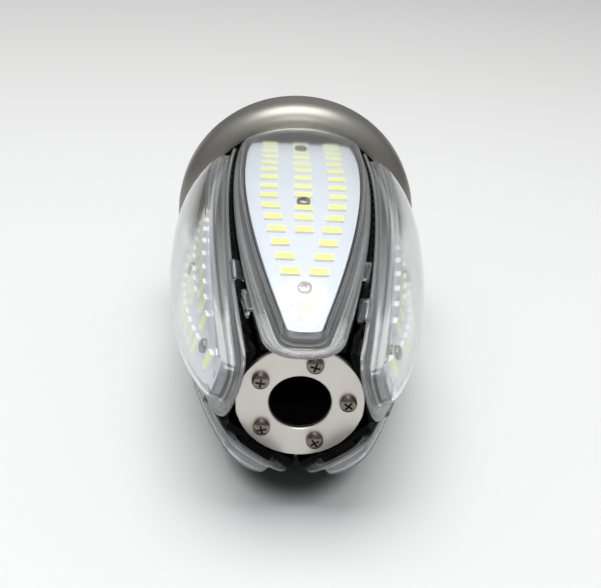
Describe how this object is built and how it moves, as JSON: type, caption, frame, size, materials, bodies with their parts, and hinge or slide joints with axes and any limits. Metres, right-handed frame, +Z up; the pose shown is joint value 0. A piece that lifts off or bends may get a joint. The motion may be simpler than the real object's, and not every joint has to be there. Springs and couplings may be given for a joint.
{
  "type": "corn led bulb",
  "caption": "Screw-base corn LED bulb: leaf-shaped light boards under clear covers round a ported core, with a domed driver housing.",
  "frame": {"origin": "middle of the overall box at its lowest level, under the lamp axis", "axes": "+Y along the lamp axis towards the screw base, +Z up with the lamp lying on its side, one petal straight up"},
  "size_m": [0.096, 0.2082, 0.096],
  "materials": {
    "end_plate": "polished steel",
    "screws": "bright nickel",
    "core": "black anodised",
    "carrier": "black anodised",
    "mounting_plate": "black anodised",
    "seal": "black silicone",
    "led_board": "white solder mask, satin",
    "leds": "yellow phosphor",
    "cover": "clear polycarbonate, gloss",
    "dome": "satin gunmetal",
    "driver_board": "green solder mask",
    "capacitor": "black sleeve",
    "transformer": "yellow tape",
    "choke": "lacquered",
    "collar": "satin black",
    "base_shell": "nickel plated",
    "insulator": "black glass",
    "contact": "tinned brass",
    "lead_red": "red sleeve",
    "lead_black": "black sleeve"
  },
  "bodies": {
    "root": {"end_plate": "end_plate", "end_screws": "screws", "core": "core", "mounting_plate": "mounting_plate", "core_screws": "screws", "dome_housing": "dome", "driver_board": "driver_board", "driver_screws": "screws", "driver_capacitor": "capacitor", "driver_transformer": "transformer", "driver_choke": "choke", "collar": "collar", "base_shell": "base_shell", "base_insulator": "insulator", "base_contact": "contact", "live_lead": "lead_red", "neutral_lead": "lead_black", "carrier_1": "carrier", "seal_1": "seal", "led_board_1": "led_board", "leds_1": "leds", "board_screws_1": "screws", "cover_1": "cover", "carrier_2": "carrier", "seal_2": "seal", "led_board_2": "led_board", "leds_2": "leds", "board_screws_2": "screws", "cover_2": "cover", "carrier_3": "carrier", "seal_3": "seal", "led_board_3": "led_board", "leds_3": "leds", "board_screws_3": "screws", "cover_3": "cover", "carrier_4": "carrier", "seal_4": "seal", "led_board_4": "led_board", "leds_4": "leds", "board_screws_4": "screws", "cover_4": "cover", "carrier_5": "carrier", "seal_5": "seal", "led_board_5": "led_board", "leds_5": "leds", "board_screws_5": "screws", "cover_5": "cover"}
  },
  "joints": []
}
